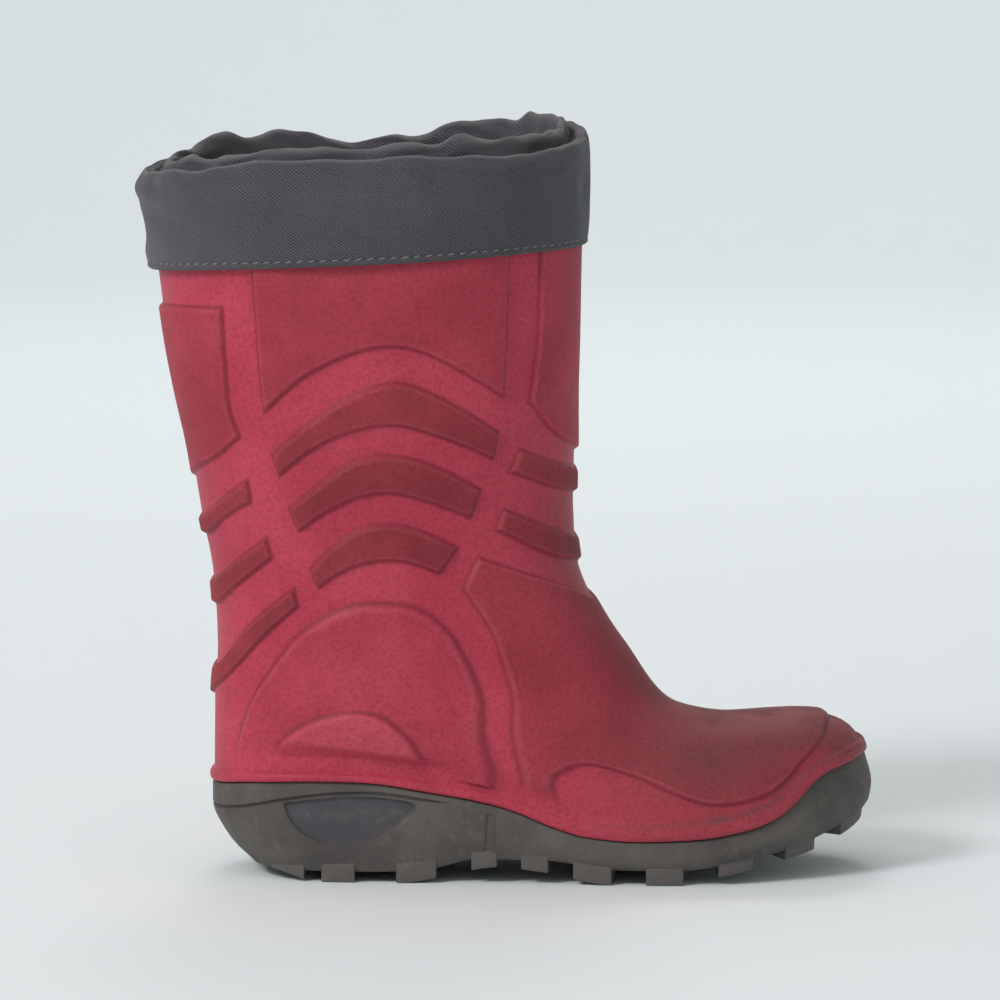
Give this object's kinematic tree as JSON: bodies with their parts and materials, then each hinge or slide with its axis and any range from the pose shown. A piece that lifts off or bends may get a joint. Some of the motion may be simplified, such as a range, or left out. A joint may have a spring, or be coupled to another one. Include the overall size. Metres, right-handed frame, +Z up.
{
  "type": "rubber boot",
  "caption": "Child's pull-on winter boot for the right foot: moulded foam upper with raised ribs, lugged rubber sole, insole and folded cloth cuff.",
  "frame": {"origin": "middle of the bounding box's underside, on the floor", "axes": "+X towards the toe, -Y the outer side of the right foot, +Z up"},
  "size_m": [0.2288, 0.1018, 0.2274],
  "materials": {
    "upper_foam": "matte moulded foam with smooth and fine-grained fields",
    "sole_rubber": "matte dusty rubber",
    "insole_felt": "soft felt",
    "cuff_twill": "twill weave"
  },
  "bodies": {
    "root": {"upper": "upper_foam", "outsole": "sole_rubber", "insole": "insole_felt", "cuff": "cuff_twill"}
  },
  "joints": []
}
